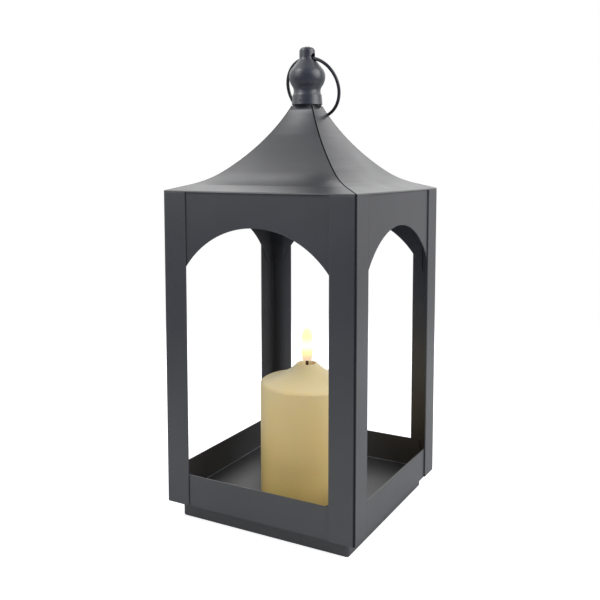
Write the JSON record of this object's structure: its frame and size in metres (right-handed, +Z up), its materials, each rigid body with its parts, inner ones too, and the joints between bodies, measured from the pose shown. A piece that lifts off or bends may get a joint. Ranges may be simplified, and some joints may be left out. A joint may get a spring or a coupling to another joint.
{
  "type": "candle lantern",
  "caption": "Square metal candle lantern with open arched sides, a concave pagoda roof, a turned finial with a carry ring, and a loose flameless pillar candle.",
  "frame": {"origin": "centre of the plinth's underside, on the surface that the lantern stands on", "axes": "+Z up through the finial, -Y out of the front side, +X out of the right side"},
  "size_m": [0.162, 0.162, 0.3699],
  "materials": {
    "powder_coat": "satin graphite powder coat",
    "ring_coat": "satin black coated wire",
    "zinc_steel": "zinc plated",
    "ivory_wax": "ivory wax, satin, slightly translucent",
    "housing_plastic": "moulded, matte",
    "cell_jacket": "plain printed jacket",
    "contact_steel": "nickel plated",
    "board": "solder mask",
    "wick_black": "matte black",
    "lead_copper": "tinned copper",
    "lamp_resin": "clear resin",
    "flame_glow": "translucent, lit from inside",
    "switch_black": "moulded black"
  },
  "bodies": {
    "lantern": {"post_front_left": "powder_coat", "post_front_right": "powder_coat", "post_back_right": "powder_coat", "post_back_left": "powder_coat", "arch_panel_front": "powder_coat", "arch_panel_right": "powder_coat", "arch_panel_back": "powder_coat", "arch_panel_left": "powder_coat", "rail_front": "powder_coat", "rail_right": "powder_coat", "rail_back": "powder_coat", "rail_left": "powder_coat", "roof_panel_front": "powder_coat", "roof_panel_right": "powder_coat", "roof_panel_back": "powder_coat", "roof_panel_left": "powder_coat", "floor_tray": "powder_coat", "plinth": "powder_coat", "crown_plate": "powder_coat", "finial": "powder_coat", "finial_screw": "zinc_steel", "finial_washer": "zinc_steel"},
    "ring": {"carry_ring": "ring_coat"},
    "candle": {"candle_shell": "ivory_wax", "battery_housing": "housing_plastic", "battery_left": "cell_jacket", "battery_right": "cell_jacket", "button_contact": "contact_steel", "spring_contact": "contact_steel", "circuit_board": "board", "board_screws": "zinc_steel", "wick_stem": "housing_plastic", "wick": "wick_black", "lamp_leads": "lead_copper", "lamp": "lamp_resin", "flame_tip": "flame_glow", "switch_body": "switch_black"},
    "lid": {"battery_lid": "housing_plastic", "lid_bridge_contact": "contact_steel"},
    "knob": {"switch_knob": "switch_black"}
  },
  "joints": [
    {"name": "ring_swing", "type": "hinge", "parent": "lantern", "child": "ring", "pos_m": [0, 0, 0.36109], "axis": [0.9928, -0.1201, 0], "range_deg": [0, 321.3]},
    {"name": "candle_lift_out", "type": "slide", "parent": "lantern", "child": "candle", "axis": [0, -0.7809, 0.6247], "range_m": [0, 0.15]},
    {"name": "battery_lid_twist", "type": "hinge", "parent": "candle", "child": "lid", "pos_m": [0.005, -0.009, 0.0164], "axis": [0, 0, 1], "range_deg": [0, 35]},
    {"name": "switch_slide", "type": "slide", "parent": "candle", "child": "knob", "axis": [-1, 0, 0], "range_m": [0, 0.004]}
  ]
}
